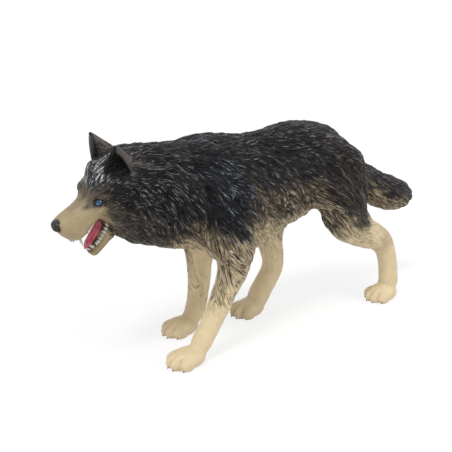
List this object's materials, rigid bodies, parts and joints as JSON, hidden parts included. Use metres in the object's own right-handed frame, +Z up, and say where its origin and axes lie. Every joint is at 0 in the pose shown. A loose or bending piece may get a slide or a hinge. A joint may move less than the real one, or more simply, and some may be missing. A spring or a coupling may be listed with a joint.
{
  "type": "wolf figurine",
  "caption": "Solid moulded wolf figurine, walking with its mouth open and tail low, carved coat, standing on flat paw soles.",
  "frame": {"origin": "middle of the bounding box at the level of the paw soles", "axes": "+Z up; the wolf looks along -X and its tail points along +X; its left side faces -Y"},
  "size_m": [0.1192, 0.0264, 0.0589],
  "materials": {
    "painted_pvc": "semi-matte hand-painted solid PVC: charcoal coat, cream legs and muzzle"
  },
  "bodies": {
    "root": {"wolf": "painted_pvc"}
  },
  "joints": []
}
